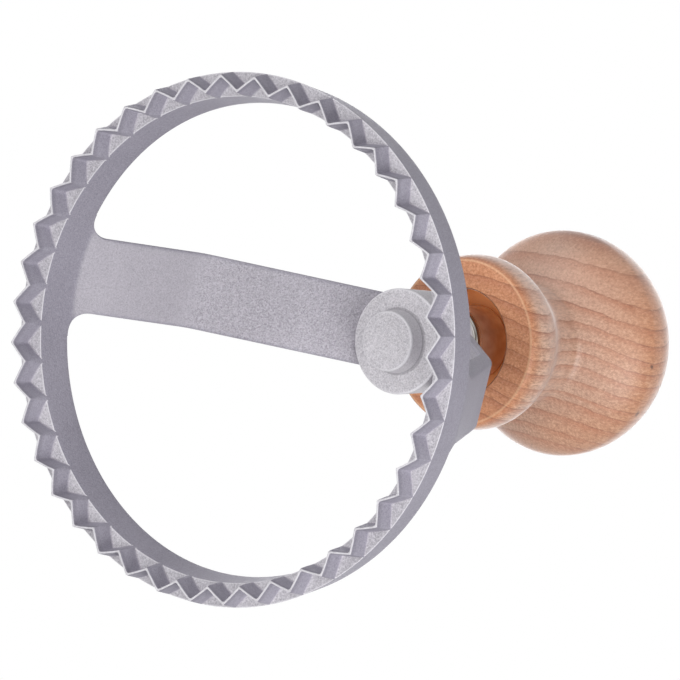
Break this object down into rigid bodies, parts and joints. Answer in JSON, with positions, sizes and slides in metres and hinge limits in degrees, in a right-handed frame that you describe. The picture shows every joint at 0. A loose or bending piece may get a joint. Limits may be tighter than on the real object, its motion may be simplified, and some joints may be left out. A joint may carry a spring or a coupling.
{
  "type": "ravioli stamp",
  "caption": "Round ravioli stamp: cast aluminium cutting ring with a zigzag edge, a bent bridge with a hub, and a turned beech knob handle.",
  "frame": {"origin": "centre of the ring in the plane of the cutting edge, which is the plane the stamp stands on", "axes": "+Z from the cutting edge to the knob, along the handle's axis; X along the bridge's two arms"},
  "size_m": [0.0964, 0.0964, 0.1285],
  "materials": {
    "casting": "blasted, matte",
    "stud": "zinc plated",
    "ferrule": "bright plated",
    "handle": "turned beech, satin varnish"
  },
  "bodies": {
    "root": {"casting": "casting", "stud": "stud", "ferrule": "ferrule", "handle": "handle"}
  },
  "joints": []
}
